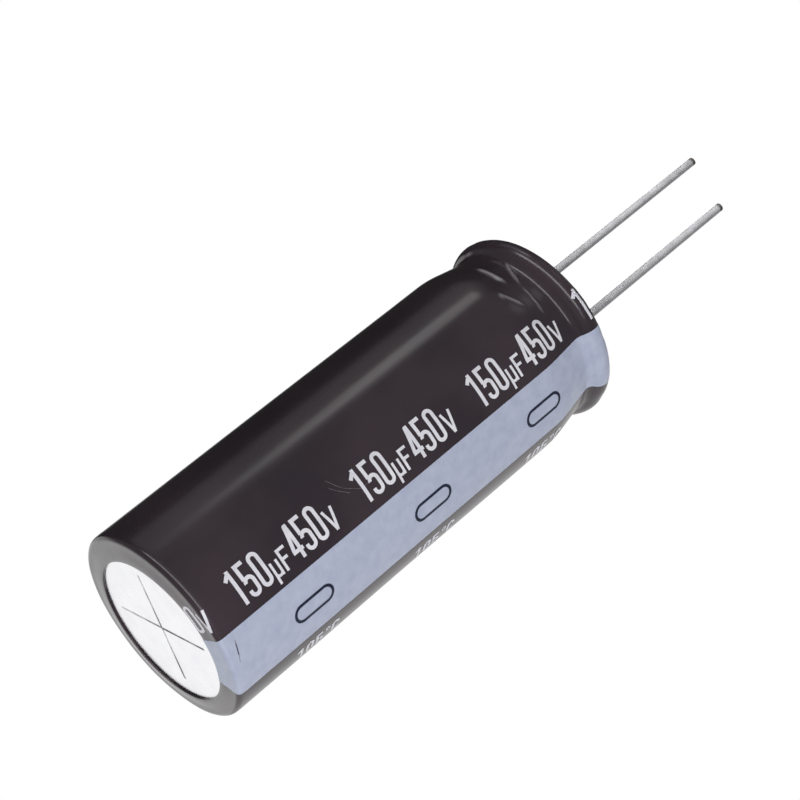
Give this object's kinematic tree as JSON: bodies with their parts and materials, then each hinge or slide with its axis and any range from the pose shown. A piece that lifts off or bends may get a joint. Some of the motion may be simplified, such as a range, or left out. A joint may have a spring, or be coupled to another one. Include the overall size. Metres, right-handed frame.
{
  "type": "electrolytic capacitor",
  "caption": "Radial electrolytic capacitor: dark sleeved round can with a marked polarity stripe, scored vent base, crimped rubber-sealed mouth and straight wire leads.",
  "frame": {"origin": "centre of the circle on which the folded sleeve lip stands, at the base", "axes": "+Z from the base to the leads along the can; +X through the positive lead, -X through the negative lead and the middle of the marked stripe"},
  "size_m": [0.0186, 0.0186, 0.0743],
  "materials": {
    "can_aluminium": "bright drawn",
    "sleeve_film": "satin shrunk film",
    "stripe_ink": "satin print",
    "mark_ink": "satin print",
    "seal_rubber": "matte",
    "stem_aluminium": "drawn and pressed",
    "tinned_wire": "tinned",
    "wound_paper": "soaked paper and etched foil",
    "tape_film": "clear adhesive tape"
  },
  "bodies": {
    "root": {"can": "can_aluminium", "shrink_sleeve": "sleeve_film", "polarity_stripe": "stripe_ink", "stripe_marks": "mark_ink", "rubber_bung": "seal_rubber", "positive_stem": "stem_aluminium", "negative_stem": "stem_aluminium", "positive_lead": "tinned_wire", "negative_lead": "tinned_wire", "wound_element": "wound_paper", "winding_tape": "tape_film"}
  },
  "joints": []
}
